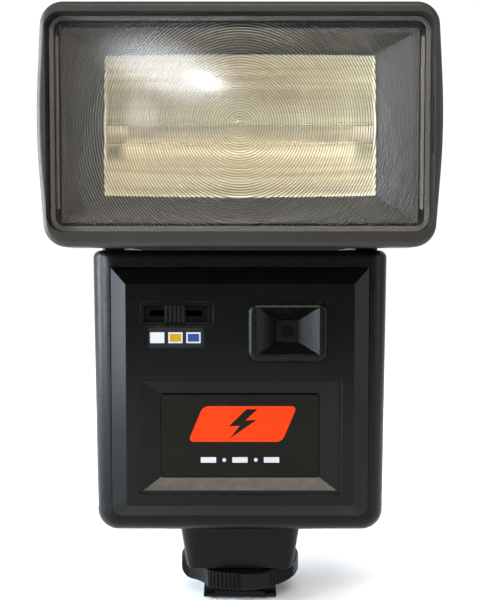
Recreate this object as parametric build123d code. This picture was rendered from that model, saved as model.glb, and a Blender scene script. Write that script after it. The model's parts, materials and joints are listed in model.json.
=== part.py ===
"""A hot-shoe electronic flashgun with a tilting head, in millimetres.

+Z is up, the light leaves towards -Y and +X is on the right of someone facing the lens.
The origin is the centre of the sole of the shoe foot.
"""

from build123d import *
import math
import os

# Driving dimensions -------------------------------------------------------------------------

# Shoe foot, to the accessory-shoe standard: an 18.6 mm plate, 2 mm thick, on a 12 mm neck.
FOOT_WIDTH = 18.6
FOOT_THICK = 2.0
STEM_R = 8.0
STEM_FLAT = 6.0
RING_R = 15.6
RING_Z = (4.4, 8.45)
BLOCK_Z = (8.8, 21.3)

# Body case.
BODY_Z = (21.3, 88.8)
BODY_W = 69.0
BODY_D = 46.7
BODY_CORNER = 5.4
DRAFT = 0.6
CAVITY_X = 33.0
CAVITY_Y = (-20.6, 21.2)
CAVITY_Z = (24.1, 86.8)

# Tilt axis, and the ears of the case that carry it.
AXIS_Y = 6.0
AXIS_Z = 106.4
EAR_X = (29.3, 35.0)
EAR_R = 12.5
TRUNNION_R = 7.0
RUNNING = 0.06

# Front panel: its rim, its plateau and what is let into it.
PANEL_Y = -22.2
RIM_Y = -24.1
PLATEAU_Y = -26.4
SWITCH_X = -14.95
SWITCH_Z = 74.0
SENSOR_X = 11.0
SENSOR_Z = 69.8

# Head.
LAMP_Z = 117.2
HEAD_Y = -37.0
SHELL_Y = -27.0
STEP_Y = -11.0
HEAD_HALF = 28.7
REAR_R = 17.0
WALL = 1.8

# Battery bay, with four AA cells standing in two rows.
CELL_R = 7.2
CELL_LENGTH = 50.5
BAY_X = (2.6, 32.7)
BAY_Y = (-13.4, 18.3)
BAY_Z = (26.0, 84.2)
CELL_X = (10.8, 25.4)
CELL_Y = (-5.1, 9.7)
DOOR_Y = (-12.4, 17.2)
DOOR_TOP = 84.0


# Shape helpers --------------------------------------------------------------------------------

def front_plane(y):
    """The plane across the object at y. Its sketches are in (x, z) and extrude towards the front."""
    return Plane(origin=(0, y, 0), x_dir=(1, 0, 0), z_dir=(0, -1, 0))


def side_plane(x):
    """The plane along the object at x. Its sketches are in (y, z) and extrude towards +X."""
    return Plane(origin=(x, 0, 0), x_dir=(0, 1, 0), z_dir=(1, 0, 0))


def block(x, y, z):
    """A box from its three pairs of limits."""
    size = [pair[1] - pair[0] for pair in (x, y, z)]
    middle = [(pair[1] + pair[0]) / 2 for pair in (x, y, z)]
    return Pos(*middle) * Box(*size)


def rod(radius, start, end):
    """A round bar between two points."""
    way = Vector(*end) - Vector(*start)
    plane = Plane(origin=start, z_dir=way)
    return extrude(plane * Circle(radius), way.length)


def slab(sketch, back, front):
    """A front-facing plate: a sketch in (x, z), from y = back to y = front."""
    return extrude(front_plane(back) * sketch, back - front)


def rounded(x, z, radius):
    """A rounded rectangle in (x, z) from its two pairs of limits."""
    middle = ((x[0] + x[1]) / 2, (z[0] + z[1]) / 2)
    return Pos(*middle) * RectangleRounded(x[1] - x[0], z[1] - z[0], radius)


def rectangle(x, z):
    """A plain rectangle in (x, z) from its two pairs of limits."""
    middle = ((x[0] + x[1]) / 2, (z[0] + z[1]) / 2)
    return Pos(*middle) * Rectangle(x[1] - x[0], z[1] - z[0])


def hopper(sketch_back, back, sketch_front, front):
    """A straight-sided solid between two sketches of the same kind, at two depths."""
    return loft([front_plane(back) * sketch_back, front_plane(front) * sketch_front], ruled=True)


def both_sides(shape):
    """The shape and its mirror image in the plane of symmetry."""
    return shape + mirror(shape, Plane.YZ)


def edges_on(shape, axis, value, tolerance=0.02):
    """The edges that lie wholly at one place along an axis."""
    return shape.edges().filter_by_position(axis, value - tolerance, value + tolerance)


def bar_along(points, radius, bend):
    """A round wire along straight runs joined by tangent arcs."""
    line = FilletPolyline(*points, radius=bend)
    plane = Plane(origin=line @ 0, z_dir=line % 0)
    return sweep(plane * Circle(radius), path=line)


def ring(outer, inner, start, end):
    """A round bar with a round hole down its middle."""
    return rod(outer, start, end) - rod(inner, start, end)


def cross_slot(x, y, z, depth, size=1.5, width=0.42):
    """The cross recess of a screw head that faces +Y, as a cutter."""
    across = block((x - size, x + size), (y - depth, y), (z - width, z + width))
    upright = block((x - width, x + width), (y - depth, y), (z - size, z + size))
    return across + upright


# Foot ----------------------------------------------------------------------------------------

PIN_PLACES = {"centre": (0.0, 0.0, 1.15), "left": (-3.6, 4.3, 0.75), "right": (3.6, 4.3, 0.75)}
PIN_CLEAR = 0.08
PIN_PROUD = 0.6
STEM_TOP = 10.8
FLANGE_TOP = 12.8
FOOT_SCREWS = [(x, y) for x in (-8.6, 8.6) for y in (-7.6, 7.6)]
BLOCK_SCREWS = [(x, y) for x in (-11.4, 11.4) for y in (-10.6, 10.6)]


def double_d(radius, flat):
    """A circle with two flats, as on a keyed stem."""
    return Circle(radius) & Rectangle(2 * flat, 3 * radius)


def shoe_foot():
    half = FOOT_WIDTH / 2
    plate = block((-half, half), (-half, half), (0, FOOT_THICK))
    plate = chamfer(edges_on(plate, Axis.Z, FOOT_THICK).sort_by(Axis.Y)[0], 0.6)
    for x in ((-half - 1, -6.3), (6.3, half + 1)):
        plate -= block(x, (-half - 1, 1.3 - half), (0.9, FOOT_THICK + 1))
    plate = fillet(plate.edges().filter_by(Axis.Z).filter_by_position(Axis.Y, 9, 10), 0.6)
    plate = chamfer(edges_on(plate, Axis.Z, 0), 0.15)
    stem = Pos(0, 0, FOOT_THICK) * extrude(double_d(STEM_R, STEM_FLAT), STEM_TOP - FOOT_THICK)
    flange = block((-10.5, 10.5), (-9.5, 9.5), (STEM_TOP, FLANGE_TOP))
    foot = plate + stem + flange
    for x, y, radius in PIN_PLACES.values():
        foot -= rod(radius + PIN_CLEAR, (x, y, -1), (x, y, 3.4))
        foot -= rod(radius + 0.55, (x, y, 3.4), (x, y, FLANGE_TOP + 1))
    return foot - upright_rods(FOOT_SCREWS, 1.05, 9, 14)


def upright_rods(places, radius, low, high):
    """Upright round bars of one size, one at each of the places."""
    return Part() + [rod(radius, (x, y, low), (x, y, high)) for x, y in places]


def slotted_screw(x, y, seat, tip, head_r):
    """A slotted screw that points down, with its head on a seat."""
    head = rod(head_r, (x, y, seat), (x, y, seat + 0.95))
    reach = head_r * 0.8
    head -= block((x - reach, x + reach), (y - 0.25, y + 0.25), (seat + 0.5, seat + 2))
    return head + rod(1.0, (x, y, tip), (x, y, seat))


def foot_screws():
    """The screws that hold the foot in its block, and the block to the floor of the case."""
    screws = [slotted_screw(x, y, FLANGE_TOP, 9.6, 1.8) for x, y in FOOT_SCREWS]
    screws += [slotted_screw(x, y, CAVITY_Z[0], 16.5, 1.8) for x, y in BLOCK_SCREWS]
    return Part() + screws


def contact_pin(place):
    """A plunger with a domed tip and a collar that its spring pushes on."""
    x, y, radius = PIN_PLACES[place]
    pin = rod(radius, (x, y, -PIN_PROUD), (x, y, 3.55))
    pin = fillet(edges_on(pin, Axis.Z, -PIN_PROUD), radius * 0.55)
    return pin + rod(radius + 0.35, (x, y, 3.55), (x, y, 4.2)) + rod(0.45, (x, y, 4.2), (x, y, 6.2))


def coil(radius, wire_r, length, turns):
    """A coil spring that stands on the origin, measured over its wire's centre line."""
    helix = Helix(pitch=length / turns, height=length, radius=radius)
    return sweep(Plane(origin=helix @ 0, z_dir=helix % 0) * Circle(wire_r), path=helix)


def contact_spring(place):
    """The coil spring between a plunger's collar and the carrier."""
    x, y, radius = PIN_PLACES[place]
    return Pos(x, y, 4.45) * coil(radius + 0.12, 0.14, 5.2, 4)


def contact_carrier():
    """The insulating block that closes the plunger bores and holds their terminals."""
    carrier = block((-6.4, 6.4), (-3.2, 7.4), (FLANGE_TOP, FLANGE_TOP + 1.6))
    for x, y, radius in PIN_PLACES.values():
        carrier += rod(radius + 0.4, (x, y, 11.0), (x, y, FLANGE_TOP))
        carrier += rod(0.5, (x, y, FLANGE_TOP + 1.6), (x, y, FLANGE_TOP + 3.6))
    return carrier


def pressure_plate():
    """The keyed washer that the lock ring pushes down on to the shoe's rails."""
    plate = Pos(0, 0, 4.2) * extrude(Circle(12.0), 0.8)
    plate = fillet(edges_on(plate, Axis.Z, 4.2), 0.25)
    return plate - Pos(0, 0, 4) * extrude(double_d(STEM_R + 0.1, STEM_FLAT + 0.1), 2)


RIDGES = 8
KNURL_ARC = 31.0
KNURL_PERIOD = 60.0
KNURL_DEPTH = 0.5


def lock_ring():
    """The knurled wheel that clamps the foot: six knurled pads, smooth between, two scalloped."""
    low, high = RING_Z
    wheel = Pos(0, 0, low) * extrude(Circle(RING_R), high - low)
    wheel = fillet(edges_on(wheel, Axis.Z, low) + edges_on(wheel, Axis.Z, high), 0.45)
    step = KNURL_ARC / RIDGES
    for pad in range(6):
        start = -121.0 + KNURL_PERIOD * pad
        for ridge in range(RIDGES + 1):
            angle = math.radians(start + step * ridge)
            x, y = RING_R * math.cos(angle), RING_R * math.sin(angle)
            wheel -= rod(KNURL_DEPTH, (x, y, low - 1), (x, y, high + 1))
    for angle in (-135.5, 44.5):
        scallop_r = 9.0
        reach = 14.1 + scallop_r
        x, y = reach * math.cos(math.radians(angle)), reach * math.sin(math.radians(angle))
        wheel -= rod(scallop_r, (x, y, low - 1), (x, y, high + 1))
    wheel -= rod(12.2, (0, 0, low - 1), (0, 0, 5.05))
    return wheel - rod(STEM_R + 0.1, (0, 0, 0), (0, 0, 20))


PAD_THICK = 0.9


def foot_block():
    """The tapered block between the case and the foot, with four screw posts inside it."""
    low, high = BLOCK_Z
    taper = -math.degrees(math.atan(0.17))
    outside = Pos(0, 0, low) * extrude(RectangleRounded(26.7, 26.0, 2.4), high - low, taper=taper)
    outside = fillet(edges_on(outside, Axis.Z, low), 0.5)
    pad = block((-18.6, 18.6), (-17.5, 17.5), (high - PAD_THICK, high))
    outside += chamfer(edges_on(pad, Axis.Z, high - PAD_THICK), 0.7)
    hollow = Pos(0, 0, STEM_TOP) * extrude(RectangleRounded(22.4, 22.0, 1.6), high, taper=taper)
    base = outside - hollow + (upright_rods(BLOCK_SCREWS, 2.2, 14.0, high) & outside)
    base -= Pos(0, 0, low - 1) * extrude(Circle(STEM_R + 0.05), 4)
    base -= upright_rods(BLOCK_SCREWS, 1.05, 16.0, high + 1)
    return base - upright_rods(FOOT_SCREWS, 1.05, 9.3, 14)


# Case ----------------------------------------------------------------------------------------

def case_block(inset=0.0):
    """The outer form of the case, wider at the top by its draft."""
    low, high = BODY_Z
    outline = RectangleRounded(BODY_W - 2 * inset, BODY_D - 2 * inset, BODY_CORNER - inset)
    form = Pos(0, 0, low + inset) * extrude(outline, high - low - 2 * inset, taper=-DRAFT)
    form = fillet(edges_on(form, Axis.Z, low + inset), 5.0 - inset)
    return fillet(edges_on(form, Axis.Z, high - inset), 1.8 - inset / 2)


def ear_outline(radius):
    """An ear's side view: a round top about the tilt axis on a foot that widens downwards."""
    foot = make_face(Polyline((-radius, 0), (radius, 0), (radius + 2, -18.2), (-radius - 2, -18.2), close=True))
    return Pos(AXIS_Y, AXIS_Z) * (Circle(radius) + foot)


def ear():
    """The right-hand ear: a hollow upright with a blind bearing bore towards the head."""
    shape = extrude(side_plane(EAR_X[0]) * ear_outline(EAR_R), EAR_X[1] - EAR_X[0])
    outer = edges_on(shape, Axis.X, EAR_X[1]).filter_by_position(Axis.Z, BODY_Z[1] + 1, 200)
    shape = fillet(outer, 1.2)
    bearing = rod(TRUNNION_R + RUNNING, (EAR_X[0] - 1, AXIS_Y, AXIS_Z), (33.2, AXIS_Y, AXIS_Z))
    duct = block((31.2, 33.2), (AXIS_Y - 5, AXIS_Y + 5), (BODY_Z[1] - 4, AXIS_Z))
    dish = rod(8.6, (34.4, AXIS_Y, AXIS_Z), (36, AXIS_Y, AXIS_Z))
    return shape, bearing + duct + dish


def panel_outline(half, z, corner):
    """A panel's front view: square top corners and rounded bottom ones."""
    low, high = z
    arc_right = RadiusArc((half, low + corner), (half - corner, low), corner)
    arc_left = RadiusArc((-half + corner, low), (-half, low + corner), corner)
    sides = [
        Line((-half, high), (half, high)),
        Line((half, high), (half, low + corner)),
        arc_right,
        Line((half - corner, low), (-half + corner, low)),
        arc_left,
        Line((-half, low + corner), (-half, high)),
    ]
    return make_face(Curve() + sides)


CASE_SCREWS = [(x, z) for x in (-29.4, -0.5) for z in (29.6, 82.9)]


def case():
    """Both halves of the case before they are parted."""
    shape = case_block()
    ear_solid, ear_cut = ear()
    shape += both_sides(ear_solid)
    cavity = block((-CAVITY_X, CAVITY_X), CAVITY_Y, CAVITY_Z)
    shape -= fillet(cavity.edges(), 0.8)
    shape -= both_sides(ear_cut)
    for x, z in CASE_SCREWS:
        boss = rod(2.7, (x, CAVITY_Y[0] - 0.5, z), (x, CAVITY_Y[1] + 0.5, z))
        shape += boss
        shape -= rod(1.05, (x, -12, z), (x, 22.0, z))
        shape -= rod(2.5, (x, 22.0, z), (x, 30, z))
    shape -= slab(panel_outline(30.35, (25.9, 84.9), 2.6), PANEL_Y, -40)
    shape -= case_openings()
    return shape


def case_openings():
    """What is cut through the walls of the case: the door, the foot and the controls."""
    cut = block((30, 40), DOOR_Y, (10, DOOR_TOP))
    cut += block((32, 33.8), (DOOR_Y[0] - 0.9, DOOR_Y[1] + 0.9), (10, DOOR_TOP - 1.0))
    cut += block((-8, 8), (-8, 8), (20, 26))
    cut += upright_rods(BLOCK_SCREWS, 1.1, 20, 26)
    cut += block((-22.5, -7.5), (-25, -20), (71.6, 76.4))
    cut += rod(6.0, (SENSOR_X, -25, SENSOR_Z), (SENSOR_X, -18, SENSOR_Z))
    cut += rear_cutouts()
    return cut


def seam_groove():
    """The fine groove that runs round the case where its halves meet."""
    outer = case_block() - case_block(0.4)
    return outer & block((-60, 60), (AXIS_Y - 0.45, AXIS_Y), (BODY_Z[0] - 1, BODY_Z[1] - 0.01))


def front_shell():
    half = case() & block((-60, 60), (-60, AXIS_Y), (0, 200))
    return half - seam_groove()


def rear_shell():
    return case() & block((-60, 60), (AXIS_Y, 60), (0, 200))


def case_screws():
    screws = []
    for x, z in CASE_SCREWS:
        head = rod(2.3, (x, 22.0, z), (x, 23.3, z)) - cross_slot(x, 23.3, z, 0.7)
        screws.append(head + rod(1.0, (x, -8, z), (x, 22.0, z)))
    return Part() + screws


# Front panel ---------------------------------------------------------------------------------

SLOT_X = (-22.3, -7.4)
SLOT_Z = (71.85, 76.15)
BADGE_FLAT_X = 18.5
BADGE_FLAT_Z = (35.5, 55.0)
BADGE_FLOOR = -24.3
LABEL_X = (-21.3, -8.5)
LABEL_Z = (66.1, 70.9)


def front_panel():
    """The raised panel on the front: bevelled all round, with its slot, sensor seat and badge well."""
    rim = panel_outline(30.1, (26.15, 84.65), 2.4)
    plateau = panel_outline(26.4, (29.2, 80.8), 1.1)
    panel = slab(rim, PANEL_Y, RIM_Y) + hopper(rim, RIM_Y, plateau, PLATEAU_Y)
    sunk_z = (SLOT_Z[0] - 0.65, SLOT_Z[1] + 0.65)
    panel -= slab(rounded((SLOT_X[0] - 0.6, SLOT_X[1] + 1.2), sunk_z, 0.9), -26.0, -30)
    panel -= slab(rounded(SLOT_X, SLOT_Z, 0.4), -24.2, -30)
    panel -= slab(rounded((-21.2, -8.7), (73.2, 74.8), 0.7), -20, -30)
    panel -= slab(rounded(LABEL_X, LABEL_Z, 0.3), -26.0, -30)
    panel -= slab(sensor_outline(0.6), -20, -30)
    return panel - badge_well()


def sensor_outline(inset):
    """The sensor housing's front view."""
    size = (18.4 - 2 * inset, 13.8 - 2 * inset)
    return Pos(SENSOR_X, SENSOR_Z) * RectangleRounded(*size, 2.4 - inset)


def badge_well():
    """The cutter for the badge's well: a fine step, then four slopes down to a flat floor."""
    step = slab(rounded((-23.6, 23.6), (31.8, 59.2), 1.0), -25.9, -30)
    mouth = rectangle((-22.9, 22.9), (32.5, 58.4))
    floor = rectangle((-BADGE_FLAT_X, BADGE_FLAT_X), BADGE_FLAT_Z)
    return step + hopper(floor, BADGE_FLOOR, mouth, -26.0)


def badge_plate():
    x = (-BADGE_FLAT_X + 0.1, BADGE_FLAT_X - 0.1)
    z = (BADGE_FLAT_Z[0] + 0.1, BADGE_FLAT_Z[1] - 0.1)
    return slab(rounded(x, z, 0.3), BADGE_FLOOR, BADGE_FLOOR - 0.4)


def mode_label():
    """The plate under the mode switch that carries its three colour marks."""
    x = (LABEL_X[0] + 0.1, LABEL_X[1] - 0.1)
    z = (LABEL_Z[0] + 0.1, LABEL_Z[1] - 0.1)
    return slab(rounded(x, z, 0.25), -26.0, -26.3)


def mode_slider():
    """The ribbed knob of the mode switch, with the stem that moves the switch behind it."""
    half = 2.35
    knob = block((SWITCH_X - half, SWITCH_X + half), (-26.3, -24.35), (SLOT_Z[0] + 0.2, SLOT_Z[1] - 0.2))
    for rib in range(5):
        x = SWITCH_X + (rib - 2) * 0.98
        knob += block((x - 0.25, x + 0.25), (-27.1, -26.3), (SLOT_Z[0] + 0.25, SLOT_Z[1] - 0.25))
    return knob + block((SWITCH_X - 0.9, SWITCH_X + 0.9), (-24.35, -17.6), (73.4, 74.6))


def mode_switch():
    """The slide switch on the board, with the slot that the knob's stem reaches into."""
    body = block((SWITCH_X - 7.0, SWITCH_X + 7.0), (-19.2, BOARD_Y[0]), (71.2, 76.8))
    body = fillet(body.edges().filter_by(Axis.Y), 0.4)
    return body - block((SWITCH_X - 5.9, SWITCH_X + 5.9), (-20, -17.0), (73.2, 74.8))


def sensor_housing():
    """The boss round the light sensor, with a funnel that limits what the sensor sees."""
    boss = slab(sensor_outline(0), PLATEAU_Y, -28.2)
    boss = fillet(edges_on(boss, Axis.Y, -28.2), 1.35)
    boss += slab(sensor_outline(0.7), PANEL_Y, PLATEAU_Y)
    boss += rod(5.8, (SENSOR_X, -21.2, SENSOR_Z), (SENSOR_X, PANEL_Y, SENSOR_Z))
    mouth = Pos(SENSOR_X, SENSOR_Z + 0.35) * Rectangle(14.6, 11.0)
    floor = Pos(SENSOR_X + 0.1, SENSOR_Z + 0.1) * Rectangle(5.1, 4.9)
    boss -= hopper(floor, -24.2, mouth, -28.3)
    return boss - rod(1.45, (SENSOR_X, -20, SENSOR_Z), (SENSOR_X, -30, SENSOR_Z))


def sensor_window():
    """The small lens that closes the sensor's hole from behind."""
    return rod(1.4, (SENSOR_X, -21.3, SENSOR_Z), (SENSOR_X, -22.6, SENSOR_Z))


def light_sensor():
    """The phototransistor behind its window."""
    can = rod(2.3, (SENSOR_X, -21.0, SENSOR_Z), (SENSOR_X, -18.2, SENSOR_Z))
    can += rod(2.8, (SENSOR_X, -18.9, SENSOR_Z), (SENSOR_X, -18.2, SENSOR_Z))
    for x in (-1.2, 1.2):
        can += rod(0.25, (SENSOR_X + x, -18.2, SENSOR_Z), (SENSOR_X + x, -15.2, SENSOR_Z))
    return can


# Inside the case -------------------------------------------------------------------------------

BOARD_Y = (-15.2, -13.6)


def main_board():
    board = block((-31.5, 31.5), BOARD_Y, (27.5, 84.5))
    for x, z in CASE_SCREWS:
        board -= rod(3.0, (x, -20, z), (x, 0, z))
    return board


def board_parts():
    """Resistors, transistors and small capacitors on the front of the main board."""
    parts = []
    for row in range(4):
        for column in range(4):
            x, z = -24.0 + column * 6.5, 36.0 + row * 5.0
            parts.append(rod(1.1, (x - 2.2, -16.6, z), (x + 2.2, -16.6, z)))
    for x, z, radius in ((8.0, 36.0, 3.2), (18.0, 38.0, 2.6), (25.0, 54.0, 2.6)):
        parts.append(rod(radius, (x, BOARD_Y[0], z), (x, -20.2, z)))
    for x in (6.0, 14.0, 22.0):
        parts.append(block((x - 2.3, x + 2.3), (-17.0, BOARD_Y[0]), (46.5, 50.5)))
    parts.append(block((-26.0, -12.0), (-18.2, BOARD_Y[0]), (58.0, 65.0)))
    return Part() + parts


def transformer():
    """The converter transformer: a wound bobbin in a square ferrite core."""
    x, z = -17.5, 78.3
    core = block((x - 8.5, x + 8.5), (-12.8, -0.6), (z - 5.6, z + 5.6))
    core -= block((x - 6.0, x + 6.0), (-14, 1), (z - 3.4, z + 3.4))
    winding = block((x - 5.8, x + 5.8), (-13.2, -0.2), (z - 3.2, z + 3.2))
    return core + fillet(winding.edges().filter_by(Axis.Y), 1.4)


CAP_X = -16.9
CAP_Y = 5.1
CAP_R = 13.0
CAP_Z = (33.0, 71.0)


def main_capacitor():
    """The photoflash capacitor that stores the energy of one flash."""
    low, high = CAP_Z
    can = rod(CAP_R, (CAP_X, CAP_Y, low), (CAP_X, CAP_Y, high))
    can = fillet(edges_on(can, Axis.Z, low) + edges_on(can, Axis.Z, high), 1.2)
    for x in (-3.5, 3.5):
        can += rod(0.6, (CAP_X + x, CAP_Y, high), (CAP_X + x, CAP_Y, high + 2.5))
    return can


def capacitor_clamp():
    """The strap that holds the capacitor against the board's frame."""
    z = (46.0, 50.0)
    band = extrude(Pos(CAP_X, CAP_Y, z[0]) * (Circle(CAP_R + 0.9) - Circle(CAP_R + 0.1)), z[1] - z[0])
    return band + block((CAP_X - 4, CAP_X + 4), (BOARD_Y[1] + 0.1, CAP_Y - CAP_R - 0.3), z)


def cell_places():
    """Each cell's axis, and whether its pole is up: alternate cells are turned over."""
    return [(x, y, (i + j) % 2 == 0) for i, x in enumerate(CELL_X) for j, y in enumerate(CELL_Y)]


CELL_Z = (29.8, 29.8 + CELL_LENGTH)
CELL_POLE = 1.3


def battery_cells():
    """Four AA cells, with alternate poles up."""
    cells = []
    low, high = CELL_Z
    for x, y, pole_up in cell_places():
        can = rod(CELL_R, (x, y, low), (x, y, high - CELL_POLE))
        can = fillet(edges_on(can, Axis.Z, low) + edges_on(can, Axis.Z, high - CELL_POLE), 0.5)
        cell = can + rod(2.6, (x, y, high - CELL_POLE), (x, y, high))
        cells.append(cell if pole_up else Pos(0, 0, low + high) * mirror(cell, Plane.XY))
    return Part() + cells


def battery_bay():
    """The open-sided box that holds the cells, with a cradle along its inner wall."""
    wall = 1.1
    inner_y = (BAY_Y[0] + wall, BAY_Y[1] - wall)
    inner_z = (BAY_Z[0] + wall, BAY_Z[1] - wall)
    bay = block(BAY_X, BAY_Y, BAY_Z) - block((BAY_X[0] + wall, 50), inner_y, inner_z)
    bay += block((BAY_X[0] + wall, CELL_X[0] - 2), inner_y, (CELL_Z[0] + 4, CELL_Z[1] - 4))
    for x, y, _ in cell_places():
        bay -= rod(CELL_R + 0.1, (x, y, CELL_Z[0] - 0.5), (x, y, CELL_Z[1] + 0.5))
    return bay


def battery_springs():
    """The coil spring at the flat end of each cell."""
    springs = []
    for x, y, pole_up in cell_places():
        z = CELL_Z[0] - 2.25 if pole_up else CELL_Z[1] + 0.35
        springs.append(Pos(x, y, z) * coil(3.6, 0.3, 1.85, 2))
    return Part() + springs


def contact_plates():
    """The strips that join the cells in series, at the pole end of each cell."""
    plates = []
    for x, y, pole_up in cell_places():
        z = CELL_Z[1] + 0.05 if pole_up else CELL_Z[0] - 0.45
        plates.append(block((x - 3.5, x + 3.5), (y - 4.5, y + 4.5), (z, z + 0.4)))
    return Part() + plates


def battery_door():
    """The sliding cover over the cells, with a tongue down each long edge."""
    low, high = BODY_Z
    gap = 0.15
    y = (DOOR_Y[0] + gap, DOOR_Y[1] - gap)
    door = case_block() & block((33.1, 40), y, (low, DOOR_TOP - gap))
    for edge in ((DOOR_Y[0] - 0.7, y[0]), (y[1], DOOR_Y[1] + 0.7)):
        door += block((33.1, 33.7), edge, (26.5, DOOR_TOP - 1.3))
    for rib in range(6):
        z = 33.0 + 2.2 * rib
        door -= block((34.25 + 0.0105 * (z - low), 40), (-4.5, 12.0), (z, z + 1.0))
    return door


# Back of the case -----------------------------------------------------------------------------

BACK_Y = 22.6
TABLE_X = 27.0
TABLE_Z = (44.0, 78.6)
SCALE_Z = (57.0, 64.0)
SPEED_Z = 51.5
CONTROL_Z = 36.0
POWER_X = 17.0
POWER_TRAVEL = 5.2
TEST_X = -17.0
LAMP_X = -6.6
CHECK_X = 5.0
LAMP_R = 2.35
CHECK_R = 1.65


def rear_cutouts():
    """The cutters for the table, the scale, the switch, the lamps and the button."""
    cut = slab(rounded((-TABLE_X, TABLE_X), TABLE_Z, 1.6), 30, BACK_Y)
    cut += block((-24.5, 24.5), (20, 30), (SPEED_Z - 1.6, SCALE_Z[1] + 0.6))
    cut += slab(rounded((POWER_X - 7.0, POWER_X + 7.0), (CONTROL_Z - 3.2, CONTROL_Z + 3.2), 1.0), 30, 22.0)
    cut += slab(rounded((POWER_X - 5.2, POWER_X + 5.2), (CONTROL_Z - 1.0, CONTROL_Z + 1.0), 0.6), 30, 19)
    cut += rod(4.3, (TEST_X, 19, CONTROL_Z), (TEST_X, 30, CONTROL_Z))
    cut += rod(LAMP_R + 0.05, (LAMP_X, 19, CONTROL_Z), (LAMP_X, 30, CONTROL_Z))
    return cut + rod(CHECK_R + 0.05, (CHECK_X, 19, CONTROL_Z), (CHECK_X, 30, CONTROL_Z))


def exposure_table():
    """The printed panel on the back, with a window for the scale and a slot for its knob."""
    x = (-TABLE_X + 0.1, TABLE_X - 0.1)
    panel = slab(rounded(x, (TABLE_Z[0] + 0.1, TABLE_Z[1] - 0.1), 1.5), 23.7, BACK_Y)
    panel -= slab(rounded((-22.0, 22.0), SCALE_Z, 0.8), 30, 20)
    return panel - slab(rounded((-9.5, 9.5), (SPEED_Z - 0.9, SPEED_Z + 0.9), 0.8), 30, 20)


def scale_window():
    """The clear window over the moving scale."""
    return slab(rounded((-21.9, 21.9), (SCALE_Z[0] + 0.1, SCALE_Z[1] - 0.1), 0.7), 23.5, 22.7)


def film_speed_slide():
    """The sliding scale and the knob that sets it to the speed of the film."""
    strip = block((-17.0, 17.0), (21.6, 22.2), (SPEED_Z - 1.2, SCALE_Z[1] - 0.1))
    stem = block((-1.6, 1.6), (22.2, 24.0), (SPEED_Z - 0.7, SPEED_Z + 0.7))
    knob = block((-3.4, 3.4), (24.0, 25.4), (SPEED_Z - 2.0, SPEED_Z + 2.0))
    knob = fillet(knob.edges().filter_by(Axis.Y), 0.6)
    for rib in range(4):
        x = (rib - 1.5) * 1.4
        knob -= block((x - 0.3, x + 0.3), (25.0, 26), (SPEED_Z - 3, SPEED_Z + 3))
    return strip + stem + knob


def scale_guide():
    """The frame inside the case that the scale slides in."""
    guide = block((-25.5, 25.5), (20.3, CAVITY_Y[1]), (48.6, 65.6))
    return guide - block((-20.0, 20.0), (20, 22), (53.0, 61.5))


CONTROL_BOARD_Y = (18.5, 19.4)


def control_board():
    """The small board behind the back wall, with the power switch and the test contacts on it."""
    board = block((-26.0, 26.0), CONTROL_BOARD_Y, (30.5, 42.5))
    for x, z in CASE_SCREWS:
        board -= rod(3.0, (x, 15, z), (x, 25, z))
    switch = block((POWER_X - 6.5, POWER_X + 6.5), (CONTROL_BOARD_Y[1], 21.0), (CONTROL_Z - 2.8, CONTROL_Z + 2.8))
    switch -= block((POWER_X - 4.4, POWER_X + 4.4), (20.0, 22), (CONTROL_Z - 0.9, CONTROL_Z + 0.9))
    return board + switch


def power_switch():
    """The on/off knob at the back, stored at off, with the tongue that moves the switch."""
    x = POWER_X - POWER_TRAVEL / 2
    knob = block((x - 3.0, x + 3.0), (22.1, 24.6), (CONTROL_Z - 2.9, CONTROL_Z + 2.9))
    knob = fillet(knob.edges().filter_by(Axis.Y), 0.5)
    for rib in range(4):
        at = x + (rib - 1.5) * 1.3
        knob -= block((at - 0.3, at + 0.3), (24.1, 25), (CONTROL_Z - 4, CONTROL_Z + 4))
    return knob + block((x - 1.2, x + 1.2), (20.3, 22.1), (CONTROL_Z - 0.7, CONTROL_Z + 0.7))


def test_button():
    """The button that fires a test flash: a cap with a collar inside the case and a spring well."""
    cap = rod(4.2, (TEST_X, 21.1, CONTROL_Z), (TEST_X, 24.9, CONTROL_Z))
    cap = fillet(edges_on(cap, Axis.Y, 24.9), 0.7)
    cap += rod(5.0, (TEST_X, 20.5, CONTROL_Z), (TEST_X, 21.1, CONTROL_Z))
    return cap - rod(3.1, (TEST_X, 20, CONTROL_Z), (TEST_X, 23.2, CONTROL_Z))


def test_button_spring():
    """The coil that brings the test button back."""
    spring = coil(2.5, 0.22, 3.2, 4)
    return Pos(TEST_X, CONTROL_BOARD_Y[1] + 0.26, CONTROL_Z) * (Rot(-90, 0, 0) * spring)


def lamp(x, radius, front):
    """A lamp with a domed end that stands through the back wall."""
    bulb = rod(radius, (x, CONTROL_BOARD_Y[1], CONTROL_Z), (x, front, CONTROL_Z))
    return fillet(edges_on(bulb, Axis.Y, front), radius * 0.6)


# Head ----------------------------------------------------------------------------------------

def head_outline(corner_half, apex_half, z, radius, bottom_half=None):
    """A head section's front view: rounded corners, and sides that peak at mid-height."""
    low, high = z
    middle = (low + high) / 2
    right = [(bottom_half or corner_half, low), (apex_half, middle), (corner_half, high)]
    left = [(-x, z_at) for x, z_at in reversed(right)]
    face = make_face(Polyline(*right, *left, close=True))
    apexes = [v for v in face.vertices() if abs(v.Y - middle) < 0.01]
    face = fillet(apexes, 160.0)
    corners = [v for v in face.vertices() if abs(v.Y - middle) > (high - low) / 2 - 0.01]
    return fillet(corners, radius)


HEAD_Z = (89.1, 141.6)
OPENING_X = 41.7
OPENING_Z = (92.4, 139.2)
LEDGE_Y = -33.2


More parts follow.
